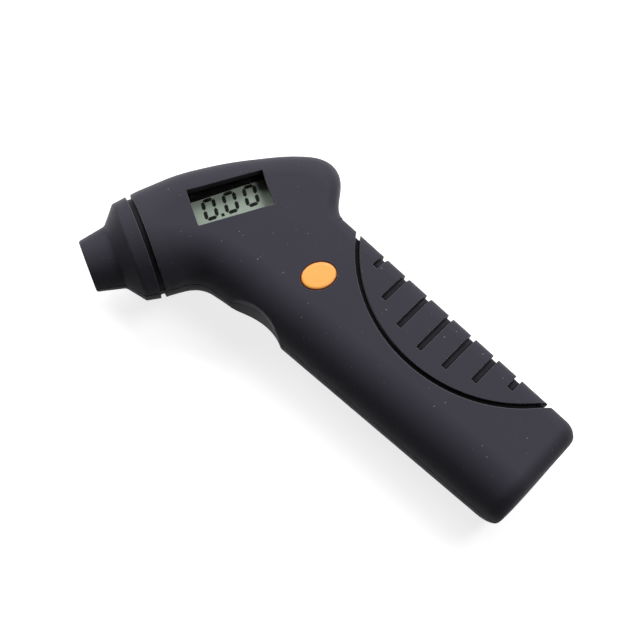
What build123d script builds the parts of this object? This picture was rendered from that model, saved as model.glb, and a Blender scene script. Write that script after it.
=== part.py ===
from build123d import *
import os
from math import atan2, cos, degrees, radians, sin, sqrt, tan

# Digital tyre pressure gauge with a pistol grip, in millimetres.
# X runs along the handle to its butt, Y towards the edge with the grip panel, Z out of the display.
# The gauge lies on its flat back at Z = 0, and its nose points towards -Y.

# Casing
face_height = 30.0
parting_height = 16.25
wall = 2.0
corner_min = 0.3
reveal_height = 0.4
reveal_depth = 0.4
pivot_x = -19.0
rear_edge_y = 25.34
butt_x = 74.4
butt_round = 5.5
butt_drop_inner = 1.6
butt_drop_outer = 4.35
butt_drop_face = 8.0
finger_edge_end_y = -8.6
head_round = 12.4
handle_round = 5.0
finger_round_width = 12.0
finger_round_front = 13.2
finger_round_back = 15.7
groove_flat = 0.3
head_lift = 0.05
rise_fan_deg = 24.0
blend_fan_deg = 20.0
handle_fan_deg = 14.0
head_corners = [(-66.4, 5.8), (-47.2, 31.85), (-35.1, 42.8), (-20.5, rear_edge_y)]
head_sweep_share = 0.957
head_radii = [60.0, 9.0, 6.5]
finger_corners = [(-37.6, -17.2), (-25.9, -14.9)]
finger_radii = [8.6, 105.0]
fan_steps = 16
butt_steps = 6
fan_ease = 1.5

# Nose, by distance from its tip along the axis
nose_tip = (-63.89, -37.75)
nose_heading_deg = 67.11
tip_radius = 8.03
tip_edge = 0.7
root_distance = 8.6
root_radius = 9.9
root_fillet = 1.8
crease_distance = 13.03
crease_step = 0.77
crease_fillet = 0.9
rim_distance = 17.4
rim_lift = 0.05
ring_depth = 1.05
ring_wall = 1.55
head_distance = 19.15
nose_cavity_start = 14.5
shoulder = 1.9

# Finger recess
recess_radius = 16.4
recess_x = -15.2
recess_floor_y = -11.35
recess_tilt_deg = 8.05
recess_edge = 2.0

# Grip panel
grip_x = 25.35
grip_depth = 20.6
grip_radius = 44.8
groove_width = 1.5
groove_depth = 1.4
grip_seat_depth = 3.0
grip_play = 0.1
grip_seat_wall = 1.8
slot_count = 7
slot_pitch = 8.7
slot_width = 2.0
slot_depth = 1.0
slot_corner = 0.4
slot_margin = 4.1

# Display window and the display under it
window_x = -46.0
window_y = 4.8
window_length = 23.95
window_width = 12.3
window_corner = 0.35
window_heading_deg = 64.4
window_depth = 2.6
pane_lap = 1.6
pane_thickness = 1.0
pane_play = 0.1
pane_rim = 1.3
display_shift = 0.4
display_length = 25.4
display_height = 14.4
display_wall = 1.3
display_gap = 0.1
glass_thickness = 0.55
segment_thickness = 0.1
reflector_thickness = 0.1
ledge = 2.2
zebra_width = 1.0
zebra_length = 20.0
zebra_play = 0.1
zebra_edge = 0.6
glass_drop = 0.5
mask_width = 2.5
rear_glass_cut = 1.5
figure_count = 3
figure_left = -9.17
figure_base = -2.55
figure_pitch = 6.6
figure_width = 4.45
figure_height = 7.4
figure_lean = 0.8
figure_stroke = 1.15
figure_gap = 0.12
point_x = -3.56
point_size = 1.0

# Push button
button_x = -10.0
button_y = 5.4
button_length = 10.8
button_width = 8.4
button_heading_deg = 69.0
button_proud = 0.3
button_edge = 0.5
button_gap = 0.25
button_travel = 0.8
flange_lip = 1.05
flange_thickness = 0.9
flange_play = 0.1
stem_radius = 2.0
sleeve_play = 0.2
sleeve_wall = 1.0
sleeve_height = 4.0
dome_radius = 4.4
dome_top_radius = 2.2
dome_height = 2.0
dome_wall = 0.5

# Circuit board
board_gap = 0.3
board_thickness = 1.6
board_inset = 5.3
board_start = 30.5
board_end_x = -1.0
board_notch_play = 0.4
board_posts = [(-29.0, 26.0), (-26.0, -7.5), (-8.5, 14.5), (-7.5, -4.5)]
post_radius = 2.2
chip_spot = (-23.0, 13.5)
chip_radius = 3.2
chip_height = 1.1
small_part_spot = (-27.5, -2.0)
small_part_count = 4
small_part_pitch = 2.6
small_part_size = (1.0, 2.0, 0.6)
crystal_spot = (-21.5, 5.5)
crystal_radius = 1.0
crystal_length = 6.0

# Battery and its cover
battery_x = -26.0
battery_y = 10.5
cell_radius = 10.0
cell_height = 3.2
cell_step = 0.4
cell_play = 0.4
cell_gap = 0.1
contact_room = 1.8
well_wall = 2.0
well_roof = 1.5
cover_radius = 12.0
cover_thickness = 2.2
cover_recess = 0.1
cover_gap = 0.2
cover_ring_wall = 1.8
lug_count = 3
lug_reach = 1.3
lug_width_deg = 20.0
lug_thickness = 0.9
lug_play = 0.1
entry_width_deg = 24.0
cover_turn_deg = 40.0
coin_slot_length = 14.0
coin_slot_width = 1.8
coin_slot_depth = 1.0
contact_width = 4.0
contact_thickness = 0.3
contact_play = 0.1
contact_bend = 0.5
leaf_x = 7.5
leaf_bend_x = 1.9
leaf_touch_x = -5.25

# Chuck in the nose, by distance from the tip
chuck_start = 0.8
chuck_radius = 6.0
chuck_play = 0.05
valve_bore_radius = 4.15
valve_bore_depth = 5.5
mouth_chamfer = 0.4
seal_radius = 5.2
seal_hole_radius = 1.8
seal_thickness = 3.0
pin_radius = 0.8
pin_head_radius = 3.0
pin_head_thickness = 1.0
pin_vent_radius = 0.3
pin_vent_count = 3
pin_setback = 0.1
passage_radius = 1.6
collar_radius = 9.0
collar_thickness = 3.0
neck_radius = 5.0
neck_length = 3.0
cup_radius = 8.5
cup_length = 7.5
cup_floor = 2.0
saddle_play = 0.1

# Pressure sensor
sensor_radius = 6.5
sensor_height = 4.4
sensor_play = 0.1
ring_section = 0.7
ring_play = 0.05
clamp_wall = 1.5
clamp_lip = 1.4
clamp_reach = 3.0
clamp_hole_radius = 5.0
thread_play = 0.03
lead_count = 4
lead_pitch = 2.5
lead_radius = 0.3
lead_length = 5.6

# Screws
housing_screws_at = [(-36.0, 30.0), (-33.0, -10.0), (66.0, 16.0), (66.0, -2.0), (17.0, -6.0)]
boss_radius = 4.0
counterbore_radius = 2.9
seat_height = 5.5
screw_head_radius = 2.6
screw_head_height = 1.8
screw_radius = 1.3
screw_length = 14.0
screw_play = 0.3
pilot_play = 0.02
board_screw_head_radius = 2.0
board_screw_head_height = 1.3
board_screw_radius = 0.9
board_screw_length = 7.0
recess_slot_width = 0.6

# Places worked out from the sizes above
face = face_height - parting_height
rim_radius = parting_height - rim_lift
crease_radius = rim_radius - crease_step
hub_radius = rim_radius - ring_depth
nose_cavity_radius = hub_radius - ring_wall
pane_top = face_height - window_depth
display_top = pane_top - pane_thickness - display_gap
board_low = parting_height + board_gap
board_high = board_low + board_thickness
inner_face = face_height - wall
pane_length = window_length + 2 * pane_lap
pane_width = window_width + 2 * pane_lap
glass_height = display_height - 2 * pane_play
rear_glass_height = glass_height - rear_glass_cut
lip_low = display_top - glass_drop + pane_play
front_glass_low = display_top - glass_drop - glass_thickness
segment_low = front_glass_low - segment_thickness
rear_glass_low = segment_low - glass_thickness
reflector_low = rear_glass_low - reflector_thickness
zebra_y = zebra_edge - display_height / 2
flange_length = button_length + 2 * flange_lip
flange_width = button_width + 2 * flange_lip
cover_high = cover_recess + cover_thickness
cell_low = cover_high + cell_gap
cell_high = cell_low + cell_height
roof_low = cell_high + contact_room
roof_high = roof_low + well_roof
well_radius = cell_radius + cell_play
positive_x = well_radius + contact_bend
seal_start = chuck_start + valve_bore_depth
seal_end = seal_start + seal_thickness
pin_head_end = seal_end + pin_head_thickness
collar_end = nose_cavity_start + collar_thickness
cup_start = collar_end + neck_length
cup_seat = cup_start + cup_floor
cup_end = cup_start + cup_length
sensor_low = cup_seat + 2 * ring_section + 2 * ring_play
sensor_high = sensor_low + sensor_height
span = 4 * (butt_x - nose_tip[0])
base_aligned = (Align.CENTER, Align.CENTER, Align.MIN)
inward = Vector(cos(radians(nose_heading_deg)), sin(radians(nose_heading_deg)), 0)
outer_side = Vector(-inward.Y, inward.X, 0)
nose_frame = Plane(origin=(*nose_tip, parting_height), x_dir=(0, 0, 1), z_dir=inward)


def heading(angle):
    """Unit direction in the plane of the back."""
    return Vector(cos(radians(angle)), sin(radians(angle)), 0)


def frame_at(x, y, angle):
    """Upright frame at a place on the back, turned by an angle."""
    return Plane(origin=(x, y, 0), x_dir=heading(angle), z_dir=(0, 0, 1))


def post(radius, low, high, x=0.0, y=0.0):
    """Cylinder along Z between two heights."""
    return Pos(x, y, low) * Cylinder(radius, high - low, align=base_aligned)


def block(length, width, low, high, x=0.0, y=0.0):
    """Box between two heights, centred on a place."""
    return Pos(x, y, low) * Box(length, width, high - low, align=base_aligned)


def oval(length, width, low, high):
    """Elliptical column between two heights."""
    return Pos(0, 0, low) * extrude(Ellipse(length / 2, width / 2), high - low)


def turned(outline, radii):
    """Solid turned about Z from a half outline of (radius, height) points, which starts and ends on Z."""
    line = FilletPolyline(*outline, radius=radii)
    return revolve(Plane.XZ * make_face(line + Line(line @ 1, line @ 0)), Axis.Z)


def strip(points, bend):
    """Sheet metal strip along (distance, height) points, its width along Y."""
    line = FilletPolyline(*points, radius=bend)
    return extrude(Plane.XZ * trace(line, contact_thickness), contact_width / 2, both=True)


def sector(radius, low, high, middle, width):
    """Wedge of a disc about Z, between two heights."""
    arm = 2 * radius
    half = radians(width / 2)
    wedge = Polygon((0, 0), (arm, -arm * sin(half) / cos(half)), (arm, arm * sin(half) / cos(half)), align=None)
    return post(radius, low, high) & Rot(0, 0, middle) * Pos(0, 0, low) * extrude(wedge, high - low)


def lug_angle(index):
    """Middle of a lug of the battery cover."""
    return 90 + 360 * index / lug_count


finger_slope = (finger_edge_end_y - finger_corners[-1][1]) / (butt_x - finger_corners[-1][0])


def finger_y(x):
    """Straight finger side of the handle."""
    return finger_edge_end_y + finger_slope * (x - butt_x)


window = frame_at(window_x, window_y, window_heading_deg)
button = frame_at(button_x, button_y, button_heading_deg)
battery = Pos(battery_x, battery_y, 0)
display_centre = Vector(window_x, window_y, 0) - outer_side * display_shift
display = frame_at(display_centre.X, display_centre.Y, nose_heading_deg)

# Outlines of the casing in plan
groove_centre = Vector(*nose_tip) + inward * head_distance
groove_outer = groove_centre + outer_side * (parting_height + head_lift)
groove_inner = groove_centre - outer_side * (parting_height + head_lift)
fan_pivot = groove_inner + outer_side * ((pivot_x - groove_inner.X) / outer_side.X)
groove_angle = degrees(atan2(outer_side.Y, outer_side.X))
line_end_x = 2 * butt_x
first_run = Vector(*head_corners[0]) - groove_outer
first_turn = first_run.get_angle(Vector(*head_corners[1]) - Vector(*head_corners[0]))
head_sweep = head_sweep_share * first_run.length / tan(radians(first_turn / 2))
outer_line = FilletPolyline(
    groove_outer,
    *head_corners,
    (line_end_x, rear_edge_y),
    radius=[head_sweep, *head_radii],
)
finger_line = FilletPolyline(
    groove_inner,
    *finger_corners,
    (line_end_x, finger_y(line_end_x)),
    radius=finger_radii,
)


def crossing(line, start, angle):
    """First point where a line in plan is met by a ray."""
    ray = Edge.make_line(start, start + heading(angle) * span)
    hits = [hit for edge in line.edges() for hit in edge.find_intersection_points(ray)]
    return min(hits, key=lambda hit: (hit - start).length)


def mix(first, second, share):
    """Pair part of the way between two pairs."""
    return tuple(a + (b - a) * share for a, b in zip(first, second))


def section(inner, outer, front, back, roundings, inset):
    """Closed outline between an inner and an outer point, with four elliptical corners."""
    across = (outer - inner).normalized()
    width = (outer - inner).length - 2 * inset
    top = parting_height + front - inset
    low = parting_height - back + inset
    sizes = [(max(w - inset, corner_min), max(h - inset, corner_min)) for w, h in roundings]
    sides = [0.0, width, width, 0.0]
    levels = [top, top, low, low]
    arcs = []
    for index, (wide, tall) in enumerate(sizes):
        side, level = sides[index], levels[index]
        along = (side + (wide if side == 0.0 else -wide), level)
        upright = (side, level + (tall if level == low else -tall))
        first, last = (upright, along) if index % 2 == 0 else (along, upright)
        spots = [inner + across * (inset + u) + Vector(0, 0, v) for u, v in (first, (side, level), last)]
        arcs.append(Edge.make_bezier(*spots, weights=[1, cos(radians(45)), 1]))
    joins = [Edge.make_line(arcs[i] @ 1, arcs[(i + 1) % 4] @ 0) for i in range(4)]
    return Wire([edge for pair in zip(arcs, joins) for edge in pair])


def fan_section(step, inset):
    """Section on a ray of the fan, from the round groove to the start of the handle."""
    full = groove_angle - 90
    turn = full * (1 - (1 - step / fan_steps) ** fan_ease)
    angle = groove_angle - turn
    inner = groove_inner if step == 0 else crossing(finger_line, fan_pivot, angle)
    outer = groove_outer if step == 0 else crossing(outer_line, fan_pivot, angle)
    front = face + (parting_height - face) * max(0, 1 - turn / rise_fan_deg) ** fan_ease
    share = min(turn / blend_fan_deg, 1)
    share = share * share * (3 - 2 * share)
    late = max(0, (turn - full + handle_fan_deg) / handle_fan_deg)
    head = head_round + (handle_round - head_round) * late
    round_width = parting_height - groove_flat
    front_round = (round_width, front - groove_flat)
    back_round = (round_width, parting_height - groove_flat)
    roundings = [
        mix(front_round, (finger_round_width, finger_round_front), share),
        mix(front_round, (head, head), share),
        mix(back_round, (head, head), share),
        mix(back_round, (finger_round_width, finger_round_back), share),
    ]
    return section(inner, outer, front, parting_height, roundings, inset)


def handle_section(x, drop, inset):
    """Section across the handle, drawn in by a share of the butt's drops."""
    falls = [max(fall - inset, 0) * drop for fall in (butt_drop_inner, butt_drop_outer, butt_drop_face)]
    inner = Vector(x, finger_y(x) + falls[0], 0)
    outer = Vector(x, rear_edge_y - falls[1], 0)
    handle = (handle_round - falls[1], handle_round - falls[2])
    roundings = [
        (finger_round_width - falls[0], finger_round_front - falls[2]),
        handle,
        handle,
        (finger_round_width - falls[0], finger_round_back - falls[2]),
    ]
    return section(inner, outer, face - falls[2], parting_height - falls[2], roundings, inset)


def casing(inset):
    """Solid of the head, handle and butt, drawn in all round by an inset."""
    end_start = butt_x - butt_round
    reach = max(butt_round - inset, corner_min)
    head = [fan_section(step, inset) for step in range(fan_steps + 1)]
    handle = [handle_section(x, 0, inset) for x in (pivot_x, end_start)]
    butt = []
    for step in range(butt_steps + 1):
        turn = radians(90 * step / butt_steps)
        butt.append(handle_section(end_start + reach * sin(turn), 1 - cos(turn), inset))
    forms = [Solid.make_loft(wires, ruled=wires is handle) for wires in (head, handle, butt)]
    return forms[0] + forms[1] + forms[2]


def grip_column(growth):
    """Upright column whose edge is the crescent line of the grip panel."""
    return post(grip_radius + growth, -span, span, grip_x, rear_edge_y - grip_depth + grip_radius)


def finger_recess(growth):
    """Tilted cylinder that hollows the finger side."""
    axis = Plane(
        origin=(recess_x, recess_floor_y - recess_radius, parting_height),
        z_dir=(0, -sin(radians(recess_tilt_deg)), cos(radians(recess_tilt_deg))),
    )
    return axis * post(recess_radius + growth, -span, span)


whole = casing(0)
recess_form = finger_recess(0)
recessed = whole - recess_form
outside = fillet(new_edges(whole, recess_form, combined=recessed), recess_edge)
inside = casing(wall)
mid_wall = casing(wall / 2)
seat_form = casing(grip_seat_depth)
deep_inside = casing(grip_seat_depth + grip_seat_wall)
above_parting = block(span, span, parting_height, span)
below_parting = block(span, span, -span, parting_height)


def nose(inset):
    """Turned form of the nose from its tip to the hub of the ring groove, drawn in round its axis by an inset."""
    outline = [
        (0, 0),
        (tip_radius - inset, 0),
        (root_radius - inset, root_distance),
        (crease_radius - inset, crease_distance),
        (rim_radius - inset, rim_distance),
        (hub_radius - inset, rim_distance),
        (hub_radius - inset, head_distance + shoulder),
        (0, head_distance + shoulder),
    ]
    return nose_frame * turned(outline, [tip_edge, root_fillet, crease_fillet, 0, 0, 0])


def hollow():
    """Space inside both halves of the casing."""
    handle = inside - grip_column(groove_width / 2 + wall) - finger_recess(wall)
    space = handle + (deep_inside - finger_recess(wall))
    cavity_end = head_distance + shoulder
    space -= nose_frame * post(2 * parting_height, 0, cavity_end)
    space += nose_frame * post(nose_cavity_radius, nose_cavity_start, cavity_end)
    return space + nose_frame * post(chuck_radius + chuck_play, -chuck_start, nose_cavity_start)


def shell():
    """Both halves of the casing as one hollow body."""
    return outside + nose(0) - (grip_column(groove_width / 2) - seat_form) - hollow()


def reveal():
    """Thin step round the outside, just above the parting line."""
    core = casing(reveal_depth) - finger_recess(reveal_depth) + nose(reveal_depth)
    return block(span, span, parting_height, parting_height + reveal_height) - core


def neck_saddle():
    """Rib with a round mouth that traps the chuck by its neck."""
    low = collar_end + saddle_play
    high = cup_start - saddle_play
    return nose_frame * (post(nose_cavity_radius + wall / 2, low, high) - post(neck_radius + saddle_play, low, high))


def front_housing():
    """Front half, with the display opening, the button's sleeve and the screw pillars."""
    front = ((body + neck_saddle()) & above_parting) - reveal()
    rim_size = (pane_length + 2 * pane_rim, pane_width + 2 * pane_rim)
    pocket_size = (pane_length + 2 * pane_play, pane_width + 2 * pane_play)
    pane_low = pane_top - pane_thickness
    opening = Pos(0, 0, pane_low) * extrude(RectangleRounded(window_length, window_width, window_corner), span)
    front += window * block(*rim_size, pane_low, face_height) & mid_wall
    front -= window * (block(*pocket_size, display_top, pane_top) + opening)
    sleeve_size = (flange_length + 2 * sleeve_play, flange_width + 2 * sleeve_play)
    sleeve_low = inner_face - sleeve_height
    front += button * oval(sleeve_size[0] + 2 * sleeve_wall, sleeve_size[1] + 2 * sleeve_wall, sleeve_low, inner_face)
    front -= button * oval(*sleeve_size, board_high, inner_face)
    front -= button * oval(button_length + 2 * button_gap, button_width + 2 * button_gap, sleeve_low, span)
    for x, y in housing_screws_at:
        front += post(boss_radius, parting_height, face_height, x, y) & mid_wall
        front -= post(screw_radius + pilot_play, parting_height, seat_height + screw_length + 1, x, y)
    return front


def rear_housing():
    """Rear half, with the screw bosses, the board's posts and the battery well."""
    rear = (body + neck_saddle()) & below_parting
    for x, y in housing_screws_at:
        rear += post(boss_radius, 0, parting_height, x, y) & mid_wall
    for x, y in board_posts:
        rear += post(post_radius, 0, board_low, x, y) & mid_wall
    ring_radius = cover_radius + lug_reach + cover_gap
    rear += battery * post(ring_radius + cover_ring_wall, 0, cover_high + cover_ring_wall) & mid_wall
    rear += battery * post(well_radius + well_wall, 0, roof_high) & mid_wall
    for x, y in housing_screws_at:
        rear -= post(counterbore_radius, -wall, seat_height, x, y)
        rear -= post(screw_radius + screw_play, 0, parting_height, x, y)
    for x, y in board_posts:
        rear -= post(board_screw_radius + pilot_play, board_high - board_screw_length - 1, board_low, x, y)
    entries = [
        sector(ring_radius, -wall, cover_high + lug_play, lug_angle(i) + cover_turn_deg, entry_width_deg)
        for i in range(lug_count)
    ]
    well = post(cover_radius + cover_gap, -wall, cover_high + lug_play) + post(well_radius, 0, roof_low)
    well += post(ring_radius, cover_high - lug_thickness - lug_play, cover_high + lug_play)
    slot = block(contact_thickness + 2 * contact_bend, contact_width + contact_bend, cell_low, roof_high, leaf_x)
    pocket_wide = contact_thickness + 2 * contact_bend + 2 * contact_play
    pocket = Rot(0, 0, 90) * block(pocket_wide, contact_width + contact_bend, cell_low, roof_high, positive_x)
    rear -= battery * (well + entries + slot + pocket)
    return rear


def grip_insert():
    """Saddle-shaped panel round the back edge, on a wider foot, with slots that run over the edge."""
    low_form = casing(grip_seat_depth - grip_play)
    panel = (whole - low_form) & grip_column(-groove_width / 2)
    panel += (casing(groove_depth) - low_form) & grip_column(groove_width / 2 - grip_play)
    centre_y = rear_edge_y - grip_depth + grip_radius
    end_radius = grip_radius - groove_width / 2 - slot_margin
    skin = casing(slot_depth)
    for index in range(slot_count):
        offset = (index - (slot_count - 1) / 2) * slot_pitch
        end_y = centre_y - sqrt(end_radius**2 - offset**2)
        length = 2 * (rear_edge_y + wall - end_y)
        outline = Pos(grip_x + offset, rear_edge_y + wall) * RectangleRounded(slot_width, length, slot_corner)
        panel -= Pos(0, 0, -wall) * extrude(outline, face_height + 2 * wall) - skin
    return panel


def display_window():
    """Clear pane glued behind the opening."""
    return window * block(pane_length, pane_width, pane_top - pane_thickness, pane_top)


def lcd_frame():
    """Black holder that stands on the board and carries the display, with a lip over its upper margin."""
    outer = block(display_length + 2 * display_wall, display_height + 2 * display_wall, board_high, display_top)
    seat = block(display_length, display_height, reflector_low, display_top)
    seat -= block(display_length, mask_width, lip_low, display_top, 0, (display_height - mask_width) / 2)
    light_box = block(display_length - 2 * ledge, display_height - 2 * ledge, board_high, reflector_low)
    slot = block(zebra_length + 2 * zebra_play, zebra_width + 2 * zebra_play, board_high, display_top, 0, zebra_y)
    return display * (outer - seat - light_box - slot)


def glass(low, height, top_y):
    """Display glass between the frame's walls, with its upper edge at a given place."""
    return block(display_length - 2 * pane_play, height, low, low + glass_thickness, 0, top_y - height / 2)


def bar(start, end):
    """Pointed bar of a figure, between two corners of its centre line."""
    along = (end - start).normalized()
    across = Vector(-along.Y, along.X, 0) * (figure_stroke / 2)
    tip = along * figure_gap
    shoulder_step = along * (figure_gap + figure_stroke / 2)
    spots = [start + tip, start + shoulder_step + across, end - shoulder_step + across, end - tip]
    spots += [end - shoulder_step - across, start + shoulder_step - across]
    lean = figure_lean / figure_height
    return Polygon(*[(spot.X + spot.Y * lean, spot.Y) for spot in spots], align=None)


def lcd_segments():
    """Dark figures of the display: noughts with a decimal point after the first."""
    left, right = figure_stroke / 2, figure_width - figure_stroke / 2
    rows = [figure_stroke / 2, figure_height / 2, figure_height - figure_stroke / 2]
    corners = [Vector(x, y, 0) for x in (left, right) for y in rows]
    pairs = [(0, 1), (1, 2), (2, 5), (3, 4), (4, 5), (0, 3)]
    nought = [bar(corners[a], corners[b]) for a, b in pairs]
    place = Pos(0, figure_base, segment_low)
    figures = [
        place * Pos(figure_left + index * figure_pitch) * extrude(stroke, segment_thickness, dir=(0, 0, 1))
        for index in range(figure_count)
        for stroke in nought
    ]
    point = place * block(point_size, point_size, 0, segment_thickness, point_x, point_size / 2)
    return Compound([display * figure for figure in figures + [point]])


def zebra_strip():
    """Elastomer strip from the board to the edge of the front glass."""
    return display * block(zebra_length, zebra_width, board_high, front_glass_low, 0, zebra_y)


def button_cap():
    """Oval button with a flange under the casing wall and a stem down to the dome."""
    high = face_height + button_proud
    cap = oval(button_length, button_width, inner_face - flange_play - flange_thickness, high)
    cap = fillet(cap.edges().group_by(Axis.Z)[-1], button_edge)
    flange = oval(flange_length, flange_width, inner_face - flange_play - flange_thickness, inner_face - flange_play)
    return button * (cap + flange + post(stem_radius, board_high + dome_height, inner_face - flange_play))


def button_dome():
    """Silicone dome that the stem presses."""
    outline = [(0, 0), (dome_radius, 0), (dome_radius, dome_wall), (dome_top_radius, dome_height), (0, dome_height)]
    hollow_form = [(0, 0), (dome_radius - 2 * dome_wall, 0), (dome_top_radius - dome_wall, dome_height - dome_wall)]
    hollow_form.append((0, dome_height - dome_wall))
    solid = turned(outline, [0, 0, dome_wall]) - turned(hollow_form, [0, dome_wall / 2])
    return button * Pos(0, 0, board_high) * solid


def circuit_board():
    """Board that fills the head and ends under the button."""
    board = casing(board_inset) & block(span, span, board_low, board_high)
    board -= nose_frame * block(span, span, -span, board_start)
    board -= block(span, span, 0, face_height, board_end_x + span / 2)
    for x, y in housing_screws_at:
        board -= post(boss_radius + board_notch_play, board_low, board_high, x, y)
    for x, y in board_posts:
        board -= post(board_screw_radius + screw_play, board_low, board_high, x, y)
    return board


def chip_blob():
    """Resin drop over the chip."""
    ball = (chip_radius**2 + chip_height**2) / (2 * chip_height)
    drop = Pos(*chip_spot, board_high + chip_height - ball) * Sphere(ball)
    return drop & block(span, span, board_high, face_height)


def board_parts():
    """Small parts soldered on the board, with the clock crystal lying beside them."""
    length, width, height = small_part_size
    x, y = small_part_spot
    row = [
        block(length, width, board_high, board_high + height, x + index * small_part_pitch, y)
        for index in range(small_part_count)
    ]
    can = Pos(*crystal_spot, board_high + crystal_radius) * Rot(90, 0, 0) * Cylinder(crystal_radius, crystal_length)
    return Compound(row + [can])


def coin_cell():
    """Lithium cell: a wide can, with its smaller pole towards the roof of the well."""
    pole_radius = cell_radius - 2 * cell_step
    rim = cell_height - cell_step
    outline = [(0, 0), (cell_radius - cell_step, 0), (cell_radius, cell_step), (cell_radius, rim)]
    outline += [(pole_radius, rim), (pole_radius, cell_height), (0, cell_height)]
    return battery * Pos(0, 0, cell_low) * turned(outline, 0)


def negative_contact():
    """Leaf under the roof of the well, with a tail up to the board."""
    level = roof_low - contact_thickness / 2
    touch = cell_high + contact_thickness / 2 + contact_play
    points = [(leaf_x, board_low), (leaf_x, level), (leaf_bend_x, level)]
    points += [(leaf_touch_x, touch), (-leaf_x, touch + contact_bend)]
    return battery * strip(points, contact_bend)


def positive_contact():
    """Spring at the side of the cell, with a tail up to the board."""
    touch = cell_radius + contact_thickness / 2 + contact_play / 2
    points = [(positive_x, board_low), (positive_x, cell_high + contact_bend)]
    points += [(touch, (cell_low + cell_high) / 2), (touch + contact_bend, cell_low + contact_bend)]
    return battery * Rot(0, 0, 90) * strip(points, contact_bend)


def battery_cover():
    """Round cover with three lugs and a slot for a coin."""
    outline = [(0, cover_recess), (cover_radius, cover_recess), (cover_radius, cover_high), (0, cover_high)]
    disc = turned(outline, [corner_min, 0])
    lug_low = cover_high - lug_thickness
    for index in range(lug_count):
        disc += sector(cover_radius + lug_reach, lug_low, cover_high, lug_angle(index), lug_width_deg)
    disc -= block(coin_slot_length, coin_slot_width, 0, cover_recess + coin_slot_depth)
    return battery * disc


def chuck_body():
    """Turned brass chuck: valve socket, collar, neck and the cup for the sensor."""
    outline = [(0, chuck_start), (chuck_radius, chuck_start), (chuck_radius, nose_cavity_start)]
    outline += [(collar_radius, nose_cavity_start), (collar_radius, collar_end), (neck_radius, collar_end)]
    outline += [(neck_radius, cup_start), (cup_radius, cup_start), (cup_radius, cup_end), (0, cup_end)]
    form = turned(outline, [mouth_chamfer, 0, 0, 0, 0, 0, 0, 0])
    form -= post(sensor_radius + sensor_play, cup_seat, cup_end)
    form -= post(passage_radius, chuck_start, cup_end)
    form -= post(pin_head_radius + pilot_play, seal_end, pin_head_end)
    form -= post(seal_radius, seal_start, seal_end)
    form -= post(valve_bore_radius, chuck_start, seal_start)
    flare = valve_bore_radius + mouth_chamfer
    mouth = Cone(flare, valve_bore_radius, mouth_chamfer, align=base_aligned)
    return nose_frame * (form - Pos(0, 0, chuck_start) * mouth)


def chuck_seal():
    """Rubber ring that the valve stem is pressed on."""
    radius = seal_radius - pilot_play
    return nose_frame * (post(radius, seal_start, seal_end) - post(seal_hole_radius, seal_start, seal_end))


def depressor_pin():
    """Pin that opens the valve core, on a drilled disc."""
    pin = post(pin_head_radius, seal_end, pin_head_end) + post(pin_radius, seal_start + pin_setback, seal_end)
    spread = (pin_radius + passage_radius) / 2
    for index in range(pin_vent_count):
        vent = post(pin_vent_radius, seal_end, pin_head_end, spread + pin_vent_radius)
        pin -= Rot(0, 0, 360 * index / pin_vent_count) * vent
    return nose_frame * pin


def sensor_o_ring():
    """Ring seal on the floor of the cup."""
    middle = sensor_radius + sensor_play - ring_section - ring_play
    return nose_frame * Pos(0, 0, cup_seat + ring_section + ring_play) * Torus(middle, ring_section)


def pressure_sensor():
    """Sensor can with a port in its face."""
    can = post(sensor_radius, sensor_low, sensor_high)
    return nose_frame * (can - post(passage_radius, sensor_low, sensor_low + sensor_height / 2))


def sensor_clamp():
    """Ring nut over the cup, with a lip that holds the sensor down."""
    bore = cup_radius + thread_play
    nut = post(bore + clamp_wall, sensor_high - clamp_reach, sensor_high + clamp_lip)
    nut -= post(bore, sensor_high - clamp_reach, sensor_high)
    return nose_frame * (nut - post(clamp_hole_radius, sensor_high, sensor_high + clamp_lip))


def sensor_leads():
    """Stiff wires from the sensor to the underside of the board."""
    first = -(lead_count - 1) / 2 * lead_pitch
    leads = [
        nose_frame * post(lead_radius, sensor_high, sensor_high + lead_length, 0, first + index * lead_pitch)
        for index in range(lead_count)
    ]
    return Compound(leads)


def screw(head_radius, head_height, shank_radius, length):
    """Pan-head screw that points up from the plane of its seat."""
    tip = shank_radius / 3
    edge = head_height / 2
    outline = [(0, -head_height), (head_radius - edge, -head_height), (head_radius, -edge), (head_radius, 0)]
    outline += [(shank_radius, 0), (shank_radius, length - shank_radius), (tip, length), (0, length)]
    form = turned(outline, 0)
    for angle in (0, 90):
        notch = block(head_radius, recess_slot_width, -head_height, -head_height / 2)
        form -= Rot(0, 0, angle) * notch
    return form


def housing_screws():
    """Screws that close the casing from the back."""
    one = screw(screw_head_radius, screw_head_height, screw_radius, screw_length)
    return Compound([Pos(x, y, seat_height) * one for x, y in housing_screws_at])


def board_screws():
    """Screws that hold the board on its posts."""
    one = screw(board_screw_head_radius, board_screw_head_height, board_screw_radius, board_screw_length)
    return Compound([Pos(x, y, board_high) * Rot(180, 0, 0) * one for x, y in board_posts])


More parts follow.
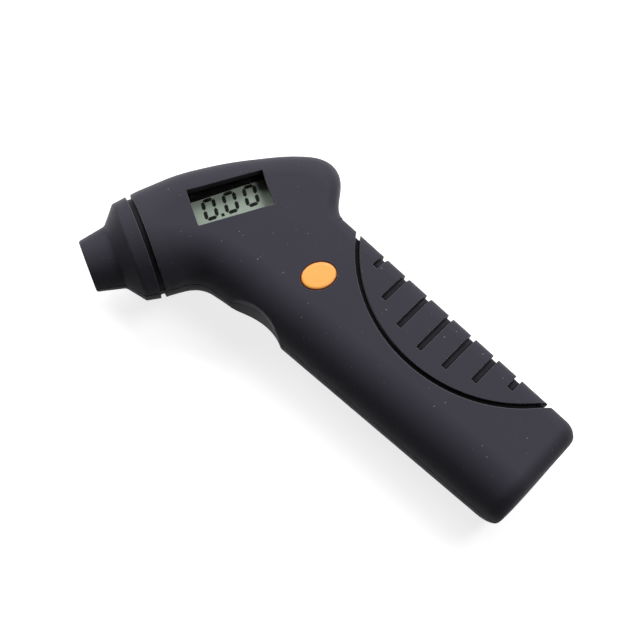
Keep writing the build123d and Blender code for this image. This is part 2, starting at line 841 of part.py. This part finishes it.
body = shell()
parts = {
    "front_housing": front_housing(),
    "rear_housing": rear_housing(),
    "grip_insert": grip_insert(),
    "display_window": display_window(),
    "lcd_frame": lcd_frame(),
    "lcd_front_glass": display * glass(front_glass_low, glass_height, glass_height / 2),
    "lcd_segments": lcd_segments(),
    "lcd_rear_glass": display * glass(rear_glass_low, rear_glass_height, glass_height / 2),
    "lcd_reflector": display * block(
        display_length - 2 * pane_play,
        rear_glass_height,
        reflector_low,
        rear_glass_low,
        0,
        (glass_height - rear_glass_height) / 2,
    ),
    "zebra_strip": zebra_strip(),
    "circuit_board": circuit_board(),
    "chip_blob": chip_blob(),
    "board_parts": board_parts(),
    "button_cap": button_cap(),
    "button_dome": button_dome(),
    "coin_cell": coin_cell(),
    "negative_contact": negative_contact(),
    "positive_contact": positive_contact(),
    "battery_cover": battery_cover(),
    "chuck_body": chuck_body(),
    "chuck_seal": chuck_seal(),
    "depressor_pin": depressor_pin(),
    "sensor_o_ring": sensor_o_ring(),
    "pressure_sensor": pressure_sensor(),
    "sensor_clamp": sensor_clamp(),
    "sensor_leads": sensor_leads(),
    "housing_screws": housing_screws(),
    "board_screws": board_screws(),
}

# The origin goes to the middle of the whole gauge's footprint
box = Compound([parts["front_housing"], parts["rear_housing"]]).bounding_box()
to_origin = Pos(-(box.min.X + box.max.X) / 2, -(box.min.Y + box.max.Y) / 2, 0)
os.makedirs("parts", exist_ok=True)
for name, part in parts.items():
    export_step(to_origin * part, f"parts/{name}.step")
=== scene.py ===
import bpy
from math import tau
from mathutils import Matrix, Vector

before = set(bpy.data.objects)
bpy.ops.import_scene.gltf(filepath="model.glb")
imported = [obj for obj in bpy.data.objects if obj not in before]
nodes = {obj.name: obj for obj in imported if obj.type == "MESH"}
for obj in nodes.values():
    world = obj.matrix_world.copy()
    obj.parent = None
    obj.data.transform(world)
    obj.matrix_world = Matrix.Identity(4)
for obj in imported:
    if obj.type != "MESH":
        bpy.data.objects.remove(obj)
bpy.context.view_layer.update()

MM = 0.001
PER_MM = 1000

# The camera stands where the photograph was taken from, in millimetres from the gauge's origin
CAMERA_SPOT = Vector((50.53, -81.69, 269.25)) * MM
CAMERA_RIGHT = Vector((0.71419, 0.69596, 0.07462))
CAMERA_UP = Vector((-0.67075, 0.65002, 0.35717))
CAMERA_NEAREST = 10 * MM
LENS = 50.9
SENSOR = 36.0

# Each square lamp's place and side in metres, and its power in watts
LAMPS = {
    "back": ((-0.46, 0.68, 0.76), 0.5, 6.9),
    "left": ((-0.86, 0.12, 0.64), 0.5, 5.2),
    "near": ((0.09, 0.2, 0.38), 0.2, 0.75),
}
LAMP_AIM = Vector((0, 0, 0.01))

# Floor and surroundings, as the lens sees them and as they light the gauge
FLOOR_REACH = 3.0
FLOOR_DROP = 0.2 * MM
FLOOR_SEEN = (0.6, 0.6, 0.61, 1)
FLOOR_BOUNCE = (0.1, 0.1, 0.1, 1)
WORLD_SEEN = 1.0
WORLD_FILL = 0.018

# The floor's glow by the gauge and far off, and the distances in metres between which it rises
GLOW_NEAR = 0.8
GLOW_FAR = 1.0
GLOW_RISE_START = 0.25
GLOW_RISE_END = 0.8

# Colours are shares of red, green and blue light
WHITE = (1, 1, 1, 1)
SOFT_BLACK = (0.0485, 0.0468, 0.0605)
# Pale grey of dust specks; the casing's edges are painted with it too, as a painted highlight
DUST_AND_HIGHLIGHT_COLOUR = (0.32, 0.32, 0.36, 1)
ORANGE = (1.0, 0.45, 0.085)
# Painted shade: deeper orange on the button's sloping rim, and dark red in the gap round it
ORANGE_RIM_PAINTED_SHADE = (0.95, 0.14, 0.003, 1)
ORANGE_GAP_PAINTED_SHADE = (0.25, 0.015, 0.001, 1)
CLEAR_TINT = (0.97, 0.98, 0.97, 1)
ZEBRA_DARK = (0.02, 0.02, 0.02, 1)
ZEBRA_PALE = (0.5, 0.3, 0.35, 1)
MASK_GREEN = (0.01, 0.12, 0.04, 1)
MASK_GREEN_PALER = (0.012, 0.14, 0.05, 1)
TRACK_GREEN = (0.02, 0.2, 0.07, 1)

# Depth of each surface's fine relief
CASING_GRAIN = 0.02 * MM
PLASTIC_GRAIN = 0.01 * MM
BUTTON_GRAIN = 0.005 * MM
REFLECTOR_GRAIN = 0.003 * MM
METAL_MARKS = 0.004 * MM
TRACK_STEP = 0.03 * MM

# Painted shade: tone that the casing is darkened to at the bottom of its slots and grooves
PAINTED_CREVICE_SHADE = 0.08

BUTTON_GAP_REACH = 1.5 * MM
BUTTON_RIM_RADIUS = 1.2 * MM
ZEBRA_PITCH = 0.4 * MM
ZEBRA_SLANT = 0.4
ZEBRA_BLUR = 0.2
TRACK_SCALE = 350

# Noise seldom leaves this range
NOISE_RANGE = (0.3, 0.7)

# Fineness and share of each layer of a moulding's grain
GRAIN_LAYERS = ((1.0, 0.65), (2.3, 0.35))

# Size and paleness of a dust speck, as shares of the largest and palest
SPECK_SIZES = (0.35, 1.0)
SPECK_PALENESS = (0.3, 1.0)

# Cosines of the slopes between which dust, an edge's painted highlight and the button rim's painted shade
# fade in
DUST_SLOPE = (0.1, 0.6)
EDGE_TURN = (0.99, 0.85)
RIM_SLOPE = (0.99, 0.6)

# Shares of open surroundings at a crevice's bottom and on a free face
CREVICE_RANGE = (0.5, 1.0)


def place_camera():
    """Camera at the photograph's viewing angle."""
    lens = bpy.data.cameras.new("camera")
    lens.lens = LENS
    lens.sensor_width = SENSOR
    lens.clip_start = CAMERA_NEAREST
    camera = bpy.data.objects.new("camera", lens)
    right = CAMERA_RIGHT.normalized()
    back = right.cross(CAMERA_UP).normalized()
    turn = Matrix((right, back.cross(right), back)).transposed()
    camera.matrix_world = Matrix.Translation(CAMERA_SPOT) @ turn.to_4x4()
    bpy.context.scene.collection.objects.link(camera)
    bpy.context.scene.camera = camera


def place_lamp(name, spot, side, power):
    """Soft square lamp that looks at the middle of the gauge."""
    lamp = bpy.data.lights.new(name, "AREA")
    lamp.shape = "SQUARE"
    lamp.size = side
    lamp.energy = power
    light = bpy.data.objects.new(name, lamp)
    back = (Vector(spot) - LAMP_AIM).normalized()
    light.rotation_mode = "QUATERNION"
    light.rotation_quaternion = back.to_track_quat("Z", "Y")
    light.location = spot
    bpy.context.scene.collection.objects.link(light)


class Shader:
    """Short way to add and join the nodes of one material or node group."""

    def __init__(self, tree):
        self.tree = tree
        self.tree.nodes.clear()

    def add(self, kind, **values):
        """New node with its settings."""
        node = self.tree.nodes.new(kind)
        for key, value in values.items():
            setattr(node, key, value)
        return node

    def feed(self, node, **inputs):
        """Sets inputs, named with _ for a space or numbered as i0, to a value or another node's output."""
        for key, value in inputs.items():
            which = int(key[1:]) if key[1:].isdigit() else key.replace("_", " ")
            socket = node.inputs[which]
            if isinstance(value, bpy.types.NodeSocket):
                self.tree.links.new(value, socket)
            else:
                socket.default_value = value
        return node

    def use(self, tree, **inputs):
        """Outputs of a node group that is placed here with its own values."""
        return self.feed(self.add("ShaderNodeGroup", node_tree=tree), **inputs).outputs

    def math(self, operation, first, second=0.0, clamp=False):
        """Sum, product or the like of two numbers."""
        node = self.add("ShaderNodeMath", operation=operation, use_clamp=clamp)
        return self.feed(node, i0=first, i1=second).outputs[0]

    def mix(self, share, first, second):
        """Colour between two colours."""
        node = self.add("ShaderNodeMix", data_type="RGBA")
        return self.feed(node, i0=share, i6=first, i7=second).outputs[2]

    def ramp(self, value, low, high, out_low=0.0, out_high=1.0):
        """Number that goes softly from one to another while the value goes from low to high."""
        node = self.add("ShaderNodeMapRange", interpolation_type="SMOOTHSTEP")
        self.feed(node, Value=value, From_Min=low, From_Max=high, To_Min=out_low, To_Max=out_high)
        return node.outputs[0]

    def noise(self, place, scale, detail, roughness=0.5):
        """Cloudy noise between nought and one."""
        node = self.add("ShaderNodeTexNoise")
        self.feed(node, Vector=place, Scale=scale, Detail=detail, Roughness=roughness)
        return node.outputs["Fac"]

    def bump(self, height, depth, **inputs):
        """Normal of a surface whose height, between nought and one, is cut as deep as depth."""
        node = self.add("ShaderNodeBump")
        return self.feed(node, Height=height, Distance=depth, **inputs).outputs[0]

    def place(self):
        """Where a point lies, in the piece's own coordinates."""
        return self.add("ShaderNodeTexCoord").outputs["Object"]

    def normal(self):
        """Way that the surface faces."""
        return self.add("ShaderNodeNewGeometry").outputs["Normal"]

    def axes(self, vector):
        """A vector's three numbers."""
        return self.feed(self.add("ShaderNodeSeparateXYZ"), i0=vector).outputs


def material(name):
    """Empty material with its Principled shader, which the caller fills."""
    made = bpy.data.materials.new(name)
    made.use_nodes = True
    shader = Shader(made.node_tree)
    out = shader.add("ShaderNodeOutputMaterial")
    surface = shader.add("ShaderNodeBsdfPrincipled")
    shader.tree.links.new(surface.outputs[0], out.inputs[0])
    return made, shader, surface


def group(name, inputs, outputs):
    """Node group with named number inputs and outputs."""
    tree = bpy.data.node_groups.new(name, "ShaderNodeTree")
    for key, value in inputs.items():
        socket = tree.interface.new_socket(key, in_out="INPUT", socket_type="NodeSocketFloat")
        socket.default_value = value
    for key, kind in outputs.items():
        tree.interface.new_socket(key, in_out="OUTPUT", socket_type=kind)
    shader = Shader(tree)
    source = shader.add("NodeGroupInput").outputs
    return tree, shader, source, shader.add("NodeGroupOutput")


def moulded_grain_group():
    """Fine grain of a moulding: a height for bump, and a slow variation for colour and gloss."""
    inputs = {"Grain per mm": 2.2, "Slow per mm": 0.05}
    outputs = {"Height": "NodeSocketFloat", "Variation": "NodeSocketFloat"}
    tree, shader, source, out = group("moulded_grain", inputs, outputs)
    place = shader.place()
    heights = []
    for fineness, share in GRAIN_LAYERS:
        scale = shader.math("MULTIPLY", source["Grain per mm"], PER_MM * fineness)
        layer = shader.noise(place, scale, detail=2.0, roughness=0.6)
        heights.append(shader.math("MULTIPLY", layer, share))
    scale = shader.math("MULTIPLY", source["Slow per mm"], PER_MM)
    slow = shader.noise(place, scale, detail=3.0)
    shader.feed(out, Height=shader.math("ADD", *heights), Variation=slow)
    return tree


def metal_marks_group():
    """Fine turning or rolling marks, long along one axis and close together across it."""
    inputs = {"Along per mm": 0.4, "Across per mm": 6.0}
    tree, shader, source, out = group("metal_marks", inputs, {"Marks": "NodeSocketFloat"})
    along = shader.math("MULTIPLY", source["Along per mm"], PER_MM)
    across = shader.math("MULTIPLY", source["Across per mm"], PER_MM)
    scale = shader.feed(shader.add("ShaderNodeCombineXYZ"), X=along, Y=across, Z=across)
    stretch = shader.add("ShaderNodeVectorMath", operation="MULTIPLY")
    shader.feed(stretch, i0=shader.place(), i1=scale.outputs[0])
    shader.feed(out, Marks=shader.noise(stretch.outputs[0], scale=1.0, detail=3.0))
    return tree


def dust_group():
    """Scattered pale specks that lie on upward faces, each with its own size and paleness."""
    inputs = {"Specks per mm": 0.7, "Share": 0.25, "Size": 0.1}
    tree, shader, source, out = group("dust", inputs, {"Mask": "NodeSocketFloat"})
    cells = shader.add("ShaderNodeTexVoronoi", feature="F1")
    scale = shader.math("MULTIPLY", source["Specks per mm"], PER_MM)
    shader.feed(cells, Vector=shader.place(), Scale=scale, Randomness=1.0)
    chance = shader.feed(shader.add("ShaderNodeSeparateColor"), i0=cells.outputs["Color"]).outputs
    chosen = shader.math("LESS_THAN", chance[0], source["Share"])
    reach = shader.math("MULTIPLY", source["Size"], shader.ramp(chance[1], 0, 1, *SPECK_SIZES))
    near = shader.math("LESS_THAN", cells.outputs["Distance"], reach)
    upward = shader.ramp(shader.axes(shader.normal())[2], *DUST_SLOPE)
    mask = shader.math("MULTIPLY", shader.math("MULTIPLY", chosen, near), upward)
    paleness = shader.ramp(chance[2], 0, 1, *SPECK_PALENESS)
    shader.feed(out, Mask=shader.math("MULTIPLY", mask, paleness))
    return tree


def crevice_group():
    """How open a spot lies: one on a free face, and less in slots, grooves and corners."""
    tree, shader, source, out = group("crevice", {"Reach": 3 * MM}, {"Openness": "NodeSocketFloat"})
    sky = shader.add("ShaderNodeAmbientOcclusion", samples=8)
    shader.feed(sky, Distance=source["Reach"])
    shader.feed(out, Openness=shader.ramp(sky.outputs["AO"], *CREVICE_RANGE))
    return tree


def soft_edge_group():
    """Edges as they leave the mould: a normal that turns softly over them, and where they lie, as a mask
    for a painted highlight.
    """
    inputs = {"Radius": 0.3 * MM, "Strength": 0.5}
    outputs = {"Normal": "NodeSocketVector", "Mask": "NodeSocketFloat"}
    tree, shader, source, out = group("soft_edge", inputs, outputs)
    bevel = shader.add("ShaderNodeBevel", samples=6)
    rounded = shader.feed(bevel, Radius=source["Radius"]).outputs[0]
    turn = shader.add("ShaderNodeVectorMath", operation="DOT_PRODUCT")
    shader.feed(turn, i0=rounded, i1=shader.normal())
    turned = shader.ramp(turn.outputs["Value"], *EDGE_TURN)
    shader.feed(out, Normal=rounded, Mask=shader.math("MULTIPLY", turned, source["Strength"]))
    return tree


GRAIN = moulded_grain_group()
MARKS = metal_marks_group()
DUST = dust_group()
CREVICE = crevice_group()
SOFT_EDGE = soft_edge_group()


def shade(colour, factor):
    """The same colour, lighter or darker."""
    return tuple(min(1.0, part * factor) for part in colour[:3]) + (1,)


def varied(shader, share, colour, darker=0.12, lighter=0.12):
    """Colour that wanders between a little darker and a little lighter."""
    return shader.mix(share, shade(colour, 1 - darker), shade(colour, 1 + lighter))


def varied_gloss(shader, share, roughness, spread=0.03):
    """Roughness that wanders a little to both sides."""
    return shader.ramp(share, *NOISE_RANGE, roughness - spread, roughness + spread)


def unshadowed(made, shader, surface, tint=WHITE, clear=False):
    """Lets lamplight through a surface to what lies below it, and all soft light too if it is clear."""
    through = shader.feed(shader.add("ShaderNodeBsdfTransparent"), Color=tint)
    path = shader.add("ShaderNodeLightPath").outputs
    passing = path["Is Shadow Ray"]
    if clear:
        passing = shader.math("ADD", passing, path["Is Diffuse Ray"], clamp=True)
    both = shader.add("ShaderNodeMixShader")
    shader.feed(both, i0=passing, i1=surface.outputs[0], i2=through.outputs[0])
    out = next(node for node in shader.tree.nodes if node.type == "OUTPUT_MATERIAL")
    shader.tree.links.new(both.outputs[0], out.inputs[0])
    return made


def plastic(name, colour, roughness, grain_depth=PLASTIC_GRAIN):
    """Moulded plastic or rubber with its grain and a slow variation of tone and gloss."""
    made, shader, surface = material(name)
    grain = shader.use(GRAIN)
    base = varied(shader, grain["Variation"], colour)
    gloss = varied_gloss(shader, grain["Variation"], roughness)
    relief = shader.bump(grain["Height"], grain_depth)
    shader.feed(surface, Base_Color=base, Roughness=gloss, Normal=relief)
    return made


def casing_plastic(name, dust_share, painted_edge_highlight):
    """Dull black casing: grained, dusty on top, with painted shade in its crevices and a painted highlight
    along its edges.
    """
    made, shader, surface = material(name)
    grain = shader.use(GRAIN)
    dust = shader.use(DUST, Share=dust_share)
    crevice = shader.use(CREVICE)
    edge = shader.use(SOFT_EDGE, Strength=painted_edge_highlight)
    base = varied(shader, grain["Variation"], SOFT_BLACK)
    base = shader.mix(dust["Mask"], base, DUST_AND_HIGHLIGHT_COLOUR)
    # Painted highlight: the casing's edges are painted paler, as if their rounding caught the light
    base = shader.mix(edge["Mask"], base, DUST_AND_HIGHLIGHT_COLOUR)
    # Painted shade: the casing darkens in slots, grooves and corners by how enclosed they are
    base = shader.mix(crevice["Openness"], shade(SOFT_BLACK, PAINTED_CREVICE_SHADE), base)
    gloss = varied_gloss(shader, grain["Variation"], roughness=0.55)
    relief = shader.bump(grain["Height"], CASING_GRAIN, Normal=edge["Normal"])
    shader.feed(surface, Base_Color=base, Roughness=gloss, Normal=relief)
    shader.feed(surface, Specular_IOR_Level=0.04, Sheen_Weight=0.3, Sheen_Roughness=0.35)
    return made


def button_plastic(name, colour, rim, gap):
    """Glossy plastic, with painted shade that deepens its tone on the rounded rim and darkens the gap
    round it.
    """
    made, shader, surface = material(name)
    grain = shader.use(GRAIN)
    crevice = shader.use(CREVICE, Reach=BUTTON_GAP_REACH)
    edge = shader.use(SOFT_EDGE, Radius=BUTTON_RIM_RADIUS)
    sloping = shader.ramp(shader.axes(edge["Normal"])[2], *RIM_SLOPE)
    base = varied(shader, grain["Variation"], colour, darker=0.05, lighter=0.05)
    # Painted shade: the rim's slopes are painted a deeper orange
    base = shader.mix(sloping, base, rim)
    # Painted shade: the button darkens to dark red in the enclosed gap round it
    base = shader.mix(crevice["Openness"], gap, base)
    gloss = varied_gloss(shader, grain["Variation"], roughness=0.36)
    relief = shader.bump(grain["Height"], BUTTON_GRAIN, Normal=edge["Normal"])
    shader.feed(surface, Base_Color=base, Roughness=gloss, Normal=relief, Specular_IOR_Level=0.4)
    return made


def metal(name, colour, roughness):
    """Metal whose gloss and tone vary along fine turning or rolling marks."""
    made, shader, surface = material(name)
    marks = shader.use(MARKS)["Marks"]
    base = varied(shader, marks, colour, darker=0.15, lighter=0.1)
    gloss = varied_gloss(shader, marks, roughness, spread=0.06)
    relief = shader.bump(marks, METAL_MARKS)
    shader.feed(surface, Base_Color=base, Metallic=1.0, Roughness=gloss, Normal=relief)
    return made


def clear_sheet(name, ior):
    """Clear plastic or glass that lets light through to what lies below."""
    made, shader, surface = material(name)
    grain = shader.use(GRAIN)
    gloss = varied_gloss(shader, grain["Variation"], roughness=0.03, spread=0.01)
    shader.feed(surface, Base_Color=CLEAR_TINT, Roughness=gloss, IOR=ior, Transmission_Weight=1.0)
    return unshadowed(made, shader, surface, CLEAR_TINT, clear=True)


def display_black(name, colour, roughness, shine):
    """Dark piece of the display, which throws no shadow on the reflector just below it."""
    made, shader, surface = material(name)
    grain = shader.use(GRAIN)
    base = varied(shader, grain["Variation"], colour, darker=0.2, lighter=0.2)
    shader.feed(surface, Base_Color=base, Roughness=roughness, Specular_IOR_Level=shine)
    return unshadowed(made, shader, surface)


def striped_elastomer(name):
    """Elastomer of thin layers by turns dark and pale along its length."""
    made, shader, surface = material(name)
    place = shader.axes(shader.place())
    along = shader.math("ADD", place[0], shader.math("MULTIPLY", place[1], ZEBRA_SLANT))
    wave = shader.math("SINE", shader.math("MULTIPLY", along, tau / ZEBRA_PITCH))
    base = shader.mix(shader.ramp(wave, -ZEBRA_BLUR, ZEBRA_BLUR), ZEBRA_DARK, ZEBRA_PALE)
    shader.feed(surface, Base_Color=base, Roughness=0.7)
    return made


def solder_mask(name):
    """Green solder mask with faint tracks below it."""
    made, shader, surface = material(name)
    tracks = shader.add("ShaderNodeTexBrick")
    shader.feed(tracks, Vector=shader.place(), Scale=TRACK_SCALE)
    shader.feed(tracks, Mortar_Size=0.06, Mortar_Smooth=0.3)
    shader.feed(tracks, Color1=MASK_GREEN, Color2=MASK_GREEN_PALER, Mortar=TRACK_GREEN)
    relief = shader.bump(tracks.outputs["Fac"], TRACK_STEP, Strength=0.5)
    shader.feed(surface, Base_Color=tracks.outputs["Color"], Roughness=0.3, Normal=relief)
    return made


def dress(made, *names):
    """Gives pieces of the gauge their material."""
    for name in names:
        slots = nodes[name].data.materials
        slots.clear()
        slots.append(made)


def lens_sees(shader):
    """One for what the lens sees, also in a mirror or glass, and nought for light that falls on things."""
    path = shader.add("ShaderNodeLightPath").outputs
    seen = shader.math("ADD", path["Is Camera Ray"], path["Is Glossy Ray"], clamp=True)
    return shader.math("ADD", seen, path["Is Transmission Ray"], clamp=True)


def stage_floor():
    """Pale floor that the lens sees as nearly white, with the gauge's soft shadow."""
    made, shader, surface = material("floor")
    seen = lens_sees(shader)
    base = shader.mix(seen, FLOOR_BOUNCE, FLOOR_SEEN)
    away = shader.feed(shader.add("ShaderNodeVectorMath", operation="LENGTH"), i0=shader.place())
    rise = shader.ramp(away.outputs["Value"], GLOW_RISE_START, GLOW_RISE_END, GLOW_NEAR, GLOW_FAR)
    glow = shader.math("MULTIPLY", seen, rise)
    shader.feed(surface, Base_Color=base, Roughness=0.9, Specular_IOR_Level=0.0)
    shader.feed(surface, Emission_Color=glow, Emission_Strength=1.0)
    sides = ((-1, -1), (1, -1), (1, 1), (-1, 1))
    corners = [(x * FLOOR_REACH, y * FLOOR_REACH, 0) for x, y in sides]
    mesh = bpy.data.meshes.new("floor")
    mesh.from_pydata(corners, [], [(0, 1, 2, 3)])
    floor = bpy.data.objects.new("floor", mesh)
    floor.location.z = -FLOOR_DROP
    floor.data.materials.append(made)
    bpy.context.scene.collection.objects.link(floor)


def light_world():
    """Surroundings that are white to the lens and dim to everything else."""
    world = bpy.data.worlds.new("world")
    bpy.context.scene.world = world
    world.use_nodes = True
    shader = Shader(world.node_tree)
    out = shader.add("ShaderNodeOutputWorld")
    background = shader.add("ShaderNodeBackground")
    strength = shader.ramp(lens_sees(shader), 0, 1, WORLD_FILL, WORLD_SEEN)
    shader.feed(background, Color=WHITE, Strength=strength)
    shader.tree.links.new(background.outputs[0], out.inputs[0])


place_camera()
stage_floor()
light_world()
for lamp_name, (spot, side, power) in LAMPS.items():
    place_lamp(lamp_name, spot, side, power)

# Outside
# The casing's edges carry a painted highlight, stronger on the housings than on the grip
soft_black = casing_plastic("soft_black", dust_share=0.4, painted_edge_highlight=0.45)
dress(soft_black, "front_housing", "rear_housing", "battery_cover")
dress(casing_plastic("grip_black", dust_share=0.3, painted_edge_highlight=0.3), "grip_insert")
dress(button_plastic("orange", ORANGE, ORANGE_RIM_PAINTED_SHADE, ORANGE_GAP_PAINTED_SHADE), "button_cap")

# Display
dress(display_black("holder_black", (0.003, 0.003, 0.003), roughness=0.7, shine=0.03), "lcd_frame")
dress(clear_sheet("clear", ior=1.06), "display_window")
dress(clear_sheet("display_glass", ior=1.03), "lcd_front_glass", "lcd_rear_glass")
dress(display_black("segments", (0.004, 0.005, 0.004), roughness=0.6, shine=0.1), "lcd_segments")
dress(plastic("reflector", (0.4, 0.44, 0.4), roughness=0.6, grain_depth=REFLECTOR_GRAIN), "lcd_reflector")
dress(striped_elastomer("zebra"), "zebra_strip")

# Board, battery and what the button presses
dress(solder_mask("board_green"), "circuit_board")
dress(plastic("resin", (0.008, 0.008, 0.008), roughness=0.25), "chip_blob")
dress(plastic("component", (0.3, 0.25, 0.2), roughness=0.5), "board_parts")
dress(plastic("silicone", (0.7, 0.7, 0.66), roughness=0.5), "button_dome")
dress(metal("cell_steel", (0.75, 0.75, 0.75), roughness=0.3), "coin_cell")
dress(metal("spring_steel", (0.7, 0.68, 0.62), roughness=0.3), "positive_contact", "negative_contact")

# Valve socket and sensor
dress(metal("brass", (0.8, 0.58, 0.28), roughness=0.28), "chuck_body")
dress(metal("pin_brass", (0.78, 0.6, 0.32), roughness=0.25), "depressor_pin")
dress(plastic("black_rubber", (0.015, 0.015, 0.015), roughness=0.6), "chuck_seal", "sensor_o_ring")
dress(metal("sensor_steel", (0.7, 0.7, 0.7), roughness=0.3), "pressure_sensor")
dress(metal("nut_aluminium", (0.75, 0.75, 0.76), roughness=0.35), "sensor_clamp")
dress(metal("lead_wire", (0.8, 0.8, 0.78), roughness=0.3), "sensor_leads")

# Screws of the casing and of the board
dress(metal("screw_steel", (0.5, 0.5, 0.51), roughness=0.35), "housing_screws", "board_screws")

bpy.context.scene.view_settings.view_transform = "Standard"
